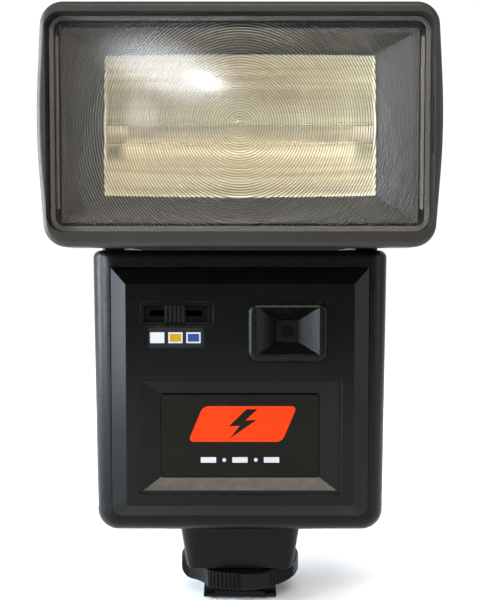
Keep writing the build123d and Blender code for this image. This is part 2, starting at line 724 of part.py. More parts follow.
def head_bezel():
    """The frame round the lens, with clip notches in its inner wall at the top and both sides."""
    frame = slab(head_outline(42.6, 44.1, HEAD_Z, 5.1, 42.2), SHELL_Y, HEAD_Y)
    frame = fillet(edges_on(frame, Axis.Y, HEAD_Y), 1.3)
    frame -= slab(rounded((-OPENING_X, OPENING_X), OPENING_Z, 3.4), LEDGE_Y, -50)
    ledge_z = (OPENING_Z[0] + 1.6, OPENING_Z[1] - 1.6)
    frame -= slab(rounded((-39.9, 39.9), ledge_z, 2.4), 0, -50)
    frame -= block((-7.4, 7.4), (-36.0, -34.6), (138, 140.2))
    for side in (-1, 1):
        x = sorted((side * 41.0, side * 42.4))
        frame -= block(x, (-36.0, -34.6), (109.4, 121.4))
    return frame


def lens_panel():
    """The clear window, with a raised middle and a long groove at each side."""
    panel = slab(rounded((-41.3, 41.3), (92.6, 139.0), 3.2), LEDGE_Y, -34.4)
    panel += slab(rounded((-40.2, 40.2), (93.7, 137.9), 2.0), -34.4, -35.1)
    for side in (-1, 1):
        x = sorted((side * 39.2, side * 39.8))
        panel -= slab(rounded(x, (97.4, 134.6), 0.25), -34.2, -40)
    return panel


def rear_profile(inset=0.0):
    """The side view of the head behind its bezel, round about the tilt axis at the bottom rear."""
    radius = REAR_R - inset
    low = AXIS_Z - radius
    back = AXIS_Y + radius
    front = SHELL_Y + 8
    crown = 9.0 - inset
    top_back, top_front = 137.0 - inset, 139.2 - inset
    sides = [
        Line((front, low), (AXIS_Y, low)),
        RadiusArc((AXIS_Y, low), (back, AXIS_Z), -radius),
        Line((back, AXIS_Z), (back, top_back - crown)),
        RadiusArc((back, top_back - crown), (back - crown, top_back), -crown),
        Line((back - crown, top_back), (front, top_front)),
        Line((front, top_front), (front, low)),
    ]
    return make_face(Curve() + sides)


def head_form(inset=0.0):
    """The outer form of the head's shells, or with an inset the form of their hollow."""
    half = HEAD_HALF - inset
    rear = extrude(side_plane(-half) * rear_profile(inset), 2 * half)
    if not inset:
        back = rear.edges().filter_by_position(Axis.Y, 10, 40)
        rims = [e for e in back if abs(abs(e.center().X) - half) < 0.01]
        rear = fillet(rims, 2.2)
    front_section = head_outline(41.7 - inset, 42.9 - inset, (89.6 + inset, 141.1 - inset), 5.0 - inset)
    step_section = head_outline(34.4 - inset, 34.8 - inset, (89.7 + inset, 138.9 - inset), 6.0 - inset)
    depth = 0.01 if inset else 0.0
    return rear + hopper(step_section, STEP_Y - inset, front_section, SHELL_Y - depth)


HEAD_SCREWS = [(-22.5, 12.0), (22.5, 12.0)]
HEAD_SCREW_SEAT = 92.4


def head_shells():
    """Both shells of the head before they are parted."""
    shells = head_form() - head_form(WALL)
    for side in (-1, 1):
        start, end = (side * 28.0, AXIS_Y, AXIS_Z), (side * 31.0, AXIS_Y, AXIS_Z)
        shells += rod(TRUNNION_R, start, end)
        shells -= rod(4.5, (side * 25.0, AXIS_Y, AXIS_Z), (side * 32.0, AXIS_Y, AXIS_Z))
    for x, y in HEAD_SCREWS:
        shells += rod(3.0, (x, y, 88.0), (x, y, 137.5)) & head_form()
        shells -= rod(1.05, (x, y, HEAD_SCREW_SEAT), (x, y, 128.0))
        shells -= rod(2.1, (x, y, 80.0), (x, y, HEAD_SCREW_SEAT))
    return shells




def head_top_shell():
    return head_shells() & block((-60, 60), (-60, 60), (AXIS_Z, 200))


def head_bottom_shell():
    return head_shells() & block((-60, 60), (-60, 60), (0, AXIS_Z))


def head_screws():
    screws = []
    for x, y in HEAD_SCREWS:
        head = rod(1.95, (x, y, HEAD_SCREW_SEAT - 1.2), (x, y, HEAD_SCREW_SEAT))
        for way in ((1.4, 0.25), (0.25, 1.4)):
            head -= Pos(x, y, HEAD_SCREW_SEAT - 1.2) * Box(2 * way[0], 2 * way[1], 1.2)
        screws.append(head + rod(1.0, (x, y, HEAD_SCREW_SEAT), (x, y, 120.0)))
    return Part() + screws


def lens_baffle():
    """The black tray between the lens and the reflector."""
    back, front = REFLECTOR_MOUTH - 0.1, LEDGE_Y + 0.2
    low, high = LAMP_Z - REFLECTOR_Z - 2.1, LAMP_Z + REFLECTOR_Z + 2.1
    outside = [rectangle((-29.8, 29.8), (low, high)), rectangle((-38.9, 38.9), (94.6, 136.6))]
    inside = [rectangle((-28.8, 28.8), (low + 1, high - 1)), rectangle((-37.9, 37.9), (95.6, 135.6))]
    tray = hopper(outside[0], back, outside[1], front) - hopper(inside[0], back - 0.8, inside[1], front - 0.2)
    return tray - block((-28.3, 28.3), (-30, -20), (low + 1.5, high - 1.5))


REFLECTOR_X = 27.6
REFLECTOR_Z = 13.9
REFLECTOR_MOUTH = -24.6
REFLECTOR_APEX = -12.3
REFLECTOR_SKIN = 0.5
TUBE_Y = -16.0
TUBE_R = 2.2


def trough(inset):
    """The reflector's hollow: a parabola in side view, with ends that slope inwards."""
    half = REFLECTOR_Z + inset
    apex = REFLECTOR_APEX + inset
    depth = apex - REFLECTOR_MOUTH
    shares = [step / 4 for step in range(-4, 5)]
    edge = Spline(*[(apex - depth * share**2, LAMP_Z + half * share) for share in shares])
    side_view = make_face(Curve() + [edge, Line(edge @ 1, edge @ 0)])
    long_bar = extrude(side_plane(-40) * side_view, 80)
    mouth, back = REFLECTOR_X + inset, REFLECTOR_X - 4.6 + inset
    front_edge, back_edge = REFLECTOR_MOUTH, 0
    plan = Polyline((-mouth, front_edge), (mouth, front_edge), (back, back_edge), (-back, back_edge), close=True)
    return long_bar & (Pos(0, 0, 90) * extrude(make_face(plan), 60))


def reflector():
    """The polished trough behind the flash tube."""
    shell = trough(REFLECTOR_SKIN) - trough(0.0)
    return shell - rod(TUBE_R + 0.4, (-40, TUBE_Y, LAMP_Z), (40, TUBE_Y, LAMP_Z))


def flash_tube():
    """The glass of the xenon tube."""
    return ring(TUBE_R, TUBE_R - 0.6, (-29.0, TUBE_Y, LAMP_Z), (29.0, TUBE_Y, LAMP_Z))


def tube_electrodes():
    """The two electrodes, each sealed into an end of the glass."""
    parts = []
    for side in (-1, 1):
        parts.append(rod(TUBE_R - 0.65, (side * 22.0, TUBE_Y, LAMP_Z), (side * 29.0, TUBE_Y, LAMP_Z)))
        parts.append(rod(0.5, (side * 29.0, TUBE_Y, LAMP_Z), (side * 31.0, TUBE_Y, LAMP_Z)))
    return Part() + parts


def tube_boots():
    """The silicone sleeves that hold the ends of the tube."""
    parts = []
    for side in (-1, 1):
        start, end = (side * 28.1, TUBE_Y, LAMP_Z), (side * 30.0, TUBE_Y, LAMP_Z)
        parts.append(ring(2.9, TUBE_R + 0.02, start, end))
    return Part() + parts


def trigger_board():
    return block((-14.0, 14.0), (4.6, 6.0), (110.0, 128.0))


def trigger_coil():
    """The small coil that makes the tube's starting pulse."""
    coil = rod(3.4, (-6.0, 1.1, 119.0), (6.0, 1.1, 119.0))
    for x in (-6.0, 6.0):
        coil += rod(4.2, (x - 0.7, 0.35, 119.0), (x + 0.7, 0.35, 119.0))
    return coil & block((-20, 20), (-20, 4.55), (100, 140))


def tilt_caps():
    """The round covers over the tilt pivots, one on each ear."""
    cap = rod(8.5, (34.4, AXIS_Y, AXIS_Z), (35.4, AXIS_Y, AXIS_Z))
    cap = fillet(edges_on(cap, Axis.X, 35.4), 0.4)
    return both_sides(cap)


# Tilt click-stop ------------------------------------------------------------------------------

STOPS = (0, 45, 60, 75, 90)
DISC_R = 6.6
DISC_X = (31.0, 32.2)


def tilt_disc():
    """The notched disc on the right-hand trunnion that sets the head's click-stops."""
    disc = ring(DISC_R, 4.5, (DISC_X[0], AXIS_Y, AXIS_Z), (DISC_X[1], AXIS_Y, AXIS_Z))
    for stop in STOPS:
        angle = math.radians(-90 - stop)
        y, z = AXIS_Y - DISC_R * math.cos(angle), AXIS_Z + DISC_R * math.sin(angle)
        disc -= rod(0.7, (DISC_X[0] - 1, y, z), (DISC_X[1] + 1, y, z))
    return disc


def tilt_spring():
    """The leaf whose bump drops into the disc's notches."""
    z = AXIS_Z - DISC_R
    bump = rod(0.6, (31.3, AXIS_Y, z), (32.2, AXIS_Y, z))
    leaf = block((31.3, 32.2), (AXIS_Y - 4.8, AXIS_Y + 4.8), (z - 0.8, z - 0.4))
    return leaf + bump


# Leads ---------------------------------------------------------------------------------------

LEAD_R = 0.55
LEAD_SIDE = 1.6


def head_leads():
    """The two leads from the tube's ends into the hollow of the left trunnion."""
    tube_end, under = 30.6, LAMP_Z - 0.6
    near = [
        (-tube_end, TUBE_Y, under),
        (-tube_end, TUBE_Y, 108.0),
        (-23.5, -17.0, 104.0),
        (-23.5, -4.0, 104.0),
        (-24.0, AXIS_Y - LEAD_SIDE, AXIS_Z),
        (-31.6, AXIS_Y - LEAD_SIDE, AXIS_Z),
    ]
    far = [
        (tube_end, TUBE_Y, under),
        (tube_end, TUBE_Y, 108.0),
        (24.0, -18.0, 98.5),
        (-20.0, -18.0, 98.0),
        (-24.0, -2.0, 99.5),
        (-22.5, AXIS_Y + LEAD_SIDE, AXIS_Z),
        (-31.6, AXIS_Y + LEAD_SIDE, AXIS_Z),
    ]
    return Part() + [bar_along(near, LEAD_R, 1.6), bar_along(far, LEAD_R, 2.0)]


def body_leads():
    """The leads that go on from the trunnion down the left ear into the case."""
    parts = []
    for side in (-LEAD_SIDE, LEAD_SIDE):
        at = AXIS_Y + side
        points = [(-31.7, at, AXIS_Z), (-32.4, at, AXIS_Z), (-32.4, at, 84.5)]
        parts.append(bar_along(points, LEAD_R, 0.6))
    return Part() + parts


NODES = {
    "shoe_foot": shoe_foot,
    "foot_screws": foot_screws,
    "contact_pin_centre": lambda: contact_pin("centre"),
    "contact_pin_left": lambda: contact_pin("left"),
    "contact_pin_right": lambda: contact_pin("right"),
    "contact_spring_centre": lambda: contact_spring("centre"),
    "contact_spring_left": lambda: contact_spring("left"),
    "contact_spring_right": lambda: contact_spring("right"),
    "contact_carrier": contact_carrier,
    "pressure_plate": pressure_plate,
    "lock_ring": lock_ring,
    "foot_block": foot_block,
    "front_shell": front_shell,
    "rear_shell": rear_shell,
    "case_screws": case_screws,
    "front_panel": front_panel,
    "badge_plate": badge_plate,
    "mode_label": mode_label,
    "mode_slider": mode_slider,
    "mode_switch": mode_switch,
    "sensor_housing": sensor_housing,
    "sensor_window": sensor_window,
    "light_sensor": light_sensor,
    "main_board": main_board,
    "board_parts": board_parts,
    "transformer": transformer,
    "main_capacitor": main_capacitor,
    "capacitor_clamp": capacitor_clamp,
    "battery_bay": battery_bay,
    "battery_cells": battery_cells,
    "battery_springs": battery_springs,
    "contact_plates": contact_plates,
    "battery_door": battery_door,
    "exposure_table": exposure_table,
    "scale_window": scale_window,
    "film_speed_slide": film_speed_slide,
    "scale_guide": scale_guide,
    "power_switch": power_switch,
    "test_button": test_button,
    "test_button_spring": test_button_spring,
    "control_board": control_board,
    "ready_lamp": lambda: lamp(LAMP_X, LAMP_R, 24.4),
    "check_lamp": lambda: lamp(CHECK_X, CHECK_R, 24.3),
    "head_bezel": head_bezel,
    "lens_panel": lens_panel,
    "lens_baffle": lens_baffle,
    "head_top_shell": head_top_shell,
    "head_bottom_shell": head_bottom_shell,
    "head_screws": head_screws,
    "reflector": reflector,
    "flash_tube": flash_tube,
    "tube_electrodes": tube_electrodes,
    "tube_boots": tube_boots,
    "trigger_board": trigger_board,
    "trigger_coil": trigger_coil,
    "tilt_caps": tilt_caps,
    "tilt_disc": tilt_disc,
    "tilt_spring": tilt_spring,
    "head_leads": head_leads,
    "body_leads": body_leads,
}


def main():
    os.makedirs("parts", exist_ok=True)
    for name, make in NODES.items():
        shape = make()
        shape.label = name
        export_step(shape, f"parts/{name}.step")


main()
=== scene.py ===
"""The looks of a camera-top electronic flashgun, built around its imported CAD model.

Blender's units are metres. The numbers here are in millimetres for the part, in metres for the
studio, and in degrees for angles, unless a comment says otherwise.
"""

import json
import math

import bmesh
import bpy
from mathutils import Matrix, Vector

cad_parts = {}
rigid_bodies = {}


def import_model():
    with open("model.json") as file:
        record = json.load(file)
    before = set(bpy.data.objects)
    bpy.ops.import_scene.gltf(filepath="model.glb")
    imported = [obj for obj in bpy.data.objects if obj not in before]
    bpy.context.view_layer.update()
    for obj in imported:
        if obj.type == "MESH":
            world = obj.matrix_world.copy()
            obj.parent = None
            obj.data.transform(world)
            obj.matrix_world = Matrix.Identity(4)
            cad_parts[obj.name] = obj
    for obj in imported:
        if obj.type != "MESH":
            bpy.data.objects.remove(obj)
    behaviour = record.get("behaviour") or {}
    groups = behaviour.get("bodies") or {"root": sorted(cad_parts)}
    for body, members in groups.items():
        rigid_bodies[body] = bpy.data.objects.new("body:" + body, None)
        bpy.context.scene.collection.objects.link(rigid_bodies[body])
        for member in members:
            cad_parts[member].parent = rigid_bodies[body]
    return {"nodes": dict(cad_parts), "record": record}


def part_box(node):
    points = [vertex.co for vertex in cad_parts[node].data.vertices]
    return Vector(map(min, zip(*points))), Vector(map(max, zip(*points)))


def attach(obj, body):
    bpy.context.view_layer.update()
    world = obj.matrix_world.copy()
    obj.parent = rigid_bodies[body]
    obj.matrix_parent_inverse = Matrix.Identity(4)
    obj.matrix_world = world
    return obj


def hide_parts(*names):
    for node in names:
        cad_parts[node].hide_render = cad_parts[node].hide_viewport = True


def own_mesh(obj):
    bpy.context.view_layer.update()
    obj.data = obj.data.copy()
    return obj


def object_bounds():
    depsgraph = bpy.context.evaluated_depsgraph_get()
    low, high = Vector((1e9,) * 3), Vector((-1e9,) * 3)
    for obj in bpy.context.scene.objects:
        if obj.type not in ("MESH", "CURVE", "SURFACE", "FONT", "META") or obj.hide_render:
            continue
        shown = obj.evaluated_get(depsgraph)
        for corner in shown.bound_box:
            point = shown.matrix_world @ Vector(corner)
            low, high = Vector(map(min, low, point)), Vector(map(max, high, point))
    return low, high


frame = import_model()
CAD_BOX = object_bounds()
NODES = frame["nodes"]
MATERIAL_SLOTS = {part["node"]: part["material_slot"] for part in frame["record"]["subparts"]}
MM = 0.001
FRONT, BACK = -1, 1


def add_object(name, data):
    obj = bpy.data.objects.new(name, data)
    bpy.context.scene.collection.objects.link(obj)
    return obj


def made(name, bm):
    """The object of a finished bmesh, which is then freed."""
    mesh = bpy.data.meshes.new(name)
    bm.to_mesh(mesh)
    bm.free()
    return add_object(name, mesh)


# Nodes ---------------------------------------------------------------------------------------

# Where nearly all of a noise's values lie.
NOISE_SPAN = (0.3, 0.7)
# The Mix node's colours, by index, because its inputs share their names with other types.
COLOUR_A, COLOUR_B, MIXED_COLOUR = 6, 7, 2
DUST_SPACING = 2.3


def feed(tree, node, values):
    """Gives inputs, by name or index, a number, a vector, a colour or another node's output."""
    for key, value in values.items():
        socket = node.inputs[key]
        if isinstance(value, bpy.types.NodeSocket):
            tree.links.new(value, socket)
        elif socket.type == "RGBA":
            socket.default_value = (*value, 1)
        else:
            socket.default_value = value


def add_node(tree, kind, values=None, **settings):
    node = tree.nodes.new(f"ShaderNode{kind}")
    for name, value in settings.items():
        setattr(node, name, value)
    feed(tree, node, values or {})
    return node


def noise(tree, place, size, detail=3.0, rough=0.55):
    """Noise whose features are about size millimetres across."""
    values = {"Vector": place, "Scale": 1 / (size * MM), "Detail": detail, "Roughness": rough}
    return add_node(tree, "TexNoise", values).outputs["Fac"]


def fit(tree, value, low, high, to_low=0.0, to_high=1.0, curve="LINEAR"):
    """value, carried from low..high to to_low..to_high and kept between them."""
    values = {"From Min": low, "From Max": high, "To Min": to_low, "To Max": to_high}
    values["Value"] = value
    return add_node(tree, "MapRange", values, interpolation_type=curve).outputs[0]


def calculate(tree, operation, *values):
    """A Math node over outputs and numbers."""
    return add_node(tree, "Math", dict(enumerate(values)), operation=operation).outputs[0]


def measure(tree, operation, *vectors):
    """The number that a Vector Math node makes of outputs and vectors."""
    node = add_node(tree, "VectorMath", dict(enumerate(vectors)), operation=operation)
    return node.outputs["Value"]


def blend_colours(tree, amount, one, other):
    """A colour from one to other by amount; each is a colour or an output."""
    values = {"Factor": amount, COLOUR_A: one, COLOUR_B: other}
    return add_node(tree, "Mix", values, data_type="RGBA").outputs[MIXED_COLOUR]


def scaled(colour, factor, lift=0.0):
    return tuple(min(1.0, c * factor + lift) for c in colour)


def object_place(tree, stretch=(1, 1, 1)):
    """The place on the object. A texture runs longer along an axis whose stretch is under 1."""
    place = add_node(tree, "TexCoord").outputs["Object"]
    if stretch == (1, 1, 1):
        return place
    return add_node(tree, "Mapping", {"Vector": place, "Scale": stretch}).outputs[0]


def specks(tree, place, radius, share):
    """A mask of scattered dust grains, one in each of a share of its cells."""
    cells = add_node(tree, "TexVoronoi", {"Vector": place, "Scale": 1 / (DUST_SPACING * MM)})
    edge = radius / DUST_SPACING
    near = fit(tree, cells.outputs["Distance"], edge, edge / 2)
    lot = add_node(tree, "SeparateColor", {0: cells.outputs["Color"]}).outputs[0]
    return calculate(tree, "MULTIPLY", near, calculate(tree, "LESS_THAN", lot, share))


def blank(name):
    """A new material, its node tree and its shader."""
    material = bpy.data.materials.new(name)
    material.use_nodes = True
    return material, material.node_tree, material.node_tree.nodes["Principled BSDF"]


# Camera and studio ---------------------------------------------------------------------------

CAMERA_PLACE = (0, -200 * MM, 84.8 * MM)
CAMERA_DIP = 2.5
CAMERA_LENS = 45.3
CAMERA_SENSOR = 36.0
CAMERA_CLIP = 0.01

# The room's brightness in front of the object and behind it, the two Y of a view direction that
# it turns between, and the factor that it falls by towards the right, between two X.
WORLD_FRONT, WORLD_BACK = 0.15, 1.05
WORLD_TURN = (-0.8, 0.5)
WORLD_RIGHT = 0.5
WORLD_SIDE = (0.4, 0.9)

# The lights named window_ are panes of a window that the lens mirrors. They lean, and fade
# towards their edges.
PANE_TILT = -14
PANE_MIDDLE = (0.5, 0.5, 0.0)
PANE_FADE = (0.5, 0.05)
PANE_PEAK = 3.0
PANE_AIM = (0, -0.035, 0.12)
PANE_COLOUR = (0.85, 0.92, 1.0)
PANE_Y = -0.62
MIDDLE = (0, 0, 0.08)

# Each light's name, place, target, (width, height), watts and colour.
LIGHTS = (
    ("key_left", (-0.60, -0.32, 0.05), (0, 0, 0.06), (0.22, 0.9), 15.0, (0.80, 0.90, 1.0)),
    ("rim_left", (-0.70, 0.02, 0.16), MIDDLE, (0.3, 0.5), 8.0, (0.84, 0.92, 1.0)),
    ("warm_top", (0.03, -0.60, 0.60), (0, -0.03, 0.05), (0.42, 0.16), 3.6, (1.0, 0.88, 0.76)),
    ("fill_right", (0.6, -0.16, 0.12), MIDDLE, (0.3, 0.5), 0.8, (0.88, 0.94, 1.0)),
    ("back_top", (0.0, 0.6, 0.6), MIDDLE, (0.6, 0.4), 4.0, (1, 1, 1)),
    ("window_bright", (-0.034, PANE_Y, 0.267), PANE_AIM, (0.065, 0.026), 0.026, PANE_COLOUR),
    ("window_veil", (-0.068, PANE_Y, 0.277), PANE_AIM, (0.19, 0.075), 0.19, PANE_COLOUR),
    ("window_low", (-0.0965, PANE_Y, 0.235), PANE_AIM, (0.055, 0.05), 0.014, PANE_COLOUR),
    ("side_glint", (0.45, -0.36, 0.30), (0, -0.035, 0.115), (0.16, 0.16), 0.30, (1.0, 0.97, 0.9)),
)

FLOOR_RADIUS = 1.6
FLOOR_SEGMENTS = 96
FLOOR_FADE = (0.25, 0.8)
FLOOR_COLOURS = ((0.83, 0.86, 0.89), (0.86, 0.89, 0.92))
# In millimetres.
FLOOR_FIBRE = 1.2


def make_camera():
    """Close in front, level with the top of the body and looking slightly down."""
    data = bpy.data.cameras.new("camera")
    data.sensor_fit = "VERTICAL"
    data.sensor_height = CAMERA_SENSOR
    data.lens = CAMERA_LENS
    data.clip_start = CAMERA_CLIP
    camera = add_object("camera", data)
    camera.location = CAMERA_PLACE
    camera.rotation_euler = (math.radians(90 - CAMERA_DIP), 0, 0)
    bpy.context.scene.camera = camera


def make_world():
    """A room that lights the object mostly from behind, and is white where the camera sees it."""
    world = bpy.data.worlds.new("studio")
    world.use_nodes = True
    tree = world.node_tree
    way = add_node(tree, "TexCoord").outputs["Generated"]
    parts = add_node(tree, "SeparateXYZ", {0: way}).outputs
    along = fit(tree, parts["Y"], *WORLD_TURN, WORLD_FRONT, WORLD_BACK, curve="SMOOTHSTEP")
    across = fit(tree, parts["X"], *WORLD_SIDE, 1.0, WORLD_RIGHT)
    room = calculate(tree, "MULTIPLY", along, across)
    seen = add_node(tree, "LightPath").outputs["Is Camera Ray"]
    strength = calculate(tree, "MAXIMUM", room, seen)
    feed(tree, tree.nodes["Background"], {"Color": (1, 1, 1), "Strength": strength})
    bpy.context.scene.world = world


def softbox(name, place, target, size, watts, colour):
    data = bpy.data.lights.new(name, "AREA")
    data.shape = "RECTANGLE"
    data.size, data.size_y = size
    data.energy = watts
    data.color = colour
    light = add_object(name, data)
    light.location = place
    way = Vector(target) - Vector(place)
    light.rotation_euler = way.to_track_quat("-Z", "Y").to_euler()
    return light


def soften(light):
    """Fades a light from its middle to its edges."""
    light.data.use_nodes = True
    tree = light.data.node_tree
    place = add_node(tree, "NewGeometry").outputs["Parametric"]
    off_middle = measure(tree, "DISTANCE", place, PANE_MIDDLE)
    strength = fit(tree, off_middle, *PANE_FADE, 0.0, PANE_PEAK, curve="SMOOTHERSTEP")
    feed(tree, tree.nodes["Emission"], {"Strength": strength})


def make_lights():
    for row in LIGHTS:
        light = softbox(*row)
        if light.name.startswith("window_"):
            light.rotation_euler.rotate_axis("Z", math.radians(PANE_TILT))
            soften(light)


def make_floor():
    """A pale matt sheet under the foot that fades into the room far away."""
    bm = bmesh.new()
    bmesh.ops.create_circle(bm, cap_ends=True, segments=FLOOR_SEGMENTS, radius=FLOOR_RADIUS)
    floor = made("floor", bm)
    floor.location.z = CAD_BOX[0].z
    material, tree, shader = blank("floor_paper")
    place = object_place(tree)
    fibres = noise(tree, place, FLOOR_FIBRE, detail=4.0)
    values = {
        "Base Color": blend_colours(tree, fibres, *FLOOR_COLOURS),
        "Alpha": fit(tree, measure(tree, "LENGTH", place), *FLOOR_FADE, 1.0, 0.0),
        "Roughness": 0.7,
        "Specular IOR Level": 0.2,
    }
    feed(tree, shader, values)
    floor.data.materials.append(material)


# Materials -----------------------------------------------------------------------------------

BEVEL_SAMPLES = 4
BUMP_STRENGTH = 0.8
BLOTCH = 7
# A sharp edge is where the bevelled normal turns away from the true one, by their dot product.
EDGE_DOT = (0.97, 0.8)
# Sharp edges are lightened in patches: partly rubbed wear, and partly a painted highlight along the
# edges. The patches' noise span and least amount, then the factor and lift of the lightened colour.
EDGE_PATCH_SPAN = (0.4, 0.62)
EDGE_PATCH_LEAST = 0.1
WORN_HIGHLIT_FACTOR, WORN_HIGHLIT_LIFT = 2.4, 0.05
DUST_RADIUS = 0.11
DUST_COLOUR = (0.55, 0.53, 0.48)

GLASS_CLOUD, GLASS_CLOUD_SPAN, GLASS_CLOUD_FACTOR = 7.0, (0.35, 0.7), 0.97
GLASS_SMEAR, GLASS_ROUGH_SPREAD = 2.0, 0.03
GLASS_COAT_ROUGH = 0.16
GLASS_DUST_RADIUS = 0.09
GLASS_DUST_COLOUR = (0.9, 0.9, 0.9)


def surface(
    name,
    colour,
    rough,
    metal=0.0,
    specular=0.3,
    grain=0.3,
    depth=0.012,
    mottle=0.15,
    uneven=0.06,
    rounding=0.15,
    wear_and_highlight=0.0,
    dust=0.0,
    stretch=(1, 1, 1),
    cloud=11.0,
):
    """A moulded, painted or metal surface: grain, clouding, soft edges and dust, with sharp edges
    lightened partly as rubbed wear and partly as a painted highlight.
    """
    material, tree, shader = blank(name)
    place = object_place(tree)
    along = object_place(tree, stretch)
    broad = noise(tree, along, cloud, detail=4.0, rough=0.6)
    middle = noise(tree, along, grain * BLOTCH)
    fine = noise(tree, along, grain, detail=2.0)
    tone = fit(tree, broad, *NOISE_SPAN)
    tint_and_painted_light = blend_colours(tree, tone, scaled(colour, 1 - mottle), scaled(colour, 1 + mottle))
    bevel = add_node(tree, "Bevel", {"Radius": rounding * MM}, samples=BEVEL_SAMPLES).outputs[0]
    # Painted highlight: sharp edges are lightened, partly as rubbed wear and partly to stand in for
    # the light that they catch.
    if wear_and_highlight:
        true_normal = add_node(tree, "NewGeometry").outputs["Normal"]
        edge = fit(tree, measure(tree, "DOT_PRODUCT", true_normal, bevel), *EDGE_DOT)
        patchy = fit(tree, middle, *EDGE_PATCH_SPAN, EDGE_PATCH_LEAST, wear_and_highlight)
        rubbed_and_highlit = calculate(tree, "MULTIPLY", edge, patchy)
        tint_and_painted_light = blend_colours(tree, rubbed_and_highlit, tint_and_painted_light, scaled(colour, WORN_HIGHLIT_FACTOR, WORN_HIGHLIT_LIFT))
    if dust:
        tint_and_painted_light = blend_colours(tree, specks(tree, place, DUST_RADIUS, dust), tint_and_painted_light, DUST_COLOUR)
    relief = {"Strength": BUMP_STRENGTH, "Distance": depth * MM, "Height": fine, "Normal": bevel}
    values = {
        "Base Color": tint_and_painted_light,
        "Roughness": fit(tree, middle, *NOISE_SPAN, rough - uneven, rough + uneven),
        "Metallic": metal,
        "Specular IOR Level": specular,
        "Normal": add_node(tree, "Bump", relief).outputs[0],
    }
    feed(tree, shader, values)
    return material


def clear(
    name,
    tint_and_painted_light=(1, 1, 1),
    rough=0.02,
    ior=1.49,
    haze=0.0,
    dust=0.0,
    coat=0.0,
    glint=1.0,
):
    """Clear plastic or glass, which lets light through to what is behind it.

    haze is the share of it that isn't clear, and glint how much its faces mirror.
    """
    material, tree, shader = blank(name)
    place = object_place(tree)
    cloud = fit(tree, noise(tree, place, GLASS_CLOUD, detail=4.0), *GLASS_CLOUD_SPAN)
    # The tint is the glass's own colour, and on the lens's risers it is a painted shade.
    colour = blend_colours(tree, cloud, tint_and_painted_light, scaled(tint_and_painted_light, GLASS_CLOUD_FACTOR))
    clearness = 1.0 - haze
    if dust:
        grains = specks(tree, place, GLASS_DUST_RADIUS, dust)
        colour = blend_colours(tree, grains, colour, GLASS_DUST_COLOUR)
        clearness = calculate(tree, "SUBTRACT", clearness, grains)
    smears = noise(tree, place, GLASS_SMEAR)
    values = {
        "Base Color": colour,
        "Roughness": fit(tree, smears, *NOISE_SPAN, rough, rough + GLASS_ROUGH_SPREAD),
        "IOR": ior,
        "Specular Tint": (glint, glint, glint),
        "Coat Weight": coat,
        "Coat Roughness": GLASS_COAT_ROUGH,
        "Transmission Weight": clearness,
    }
    feed(tree, shader, values)
    for_shadows = add_node(tree, "BsdfTransparent", {"Color": tint_and_painted_light}).outputs[0]
    shadow = add_node(tree, "LightPath").outputs["Is Shadow Ray"]
    mix = add_node(tree, "MixShader", {0: shadow, 1: shader.outputs[0], 2: for_shadows})
    feed(tree, tree.nodes["Material Output"], {"Surface": mix.outputs[0]})
    return material


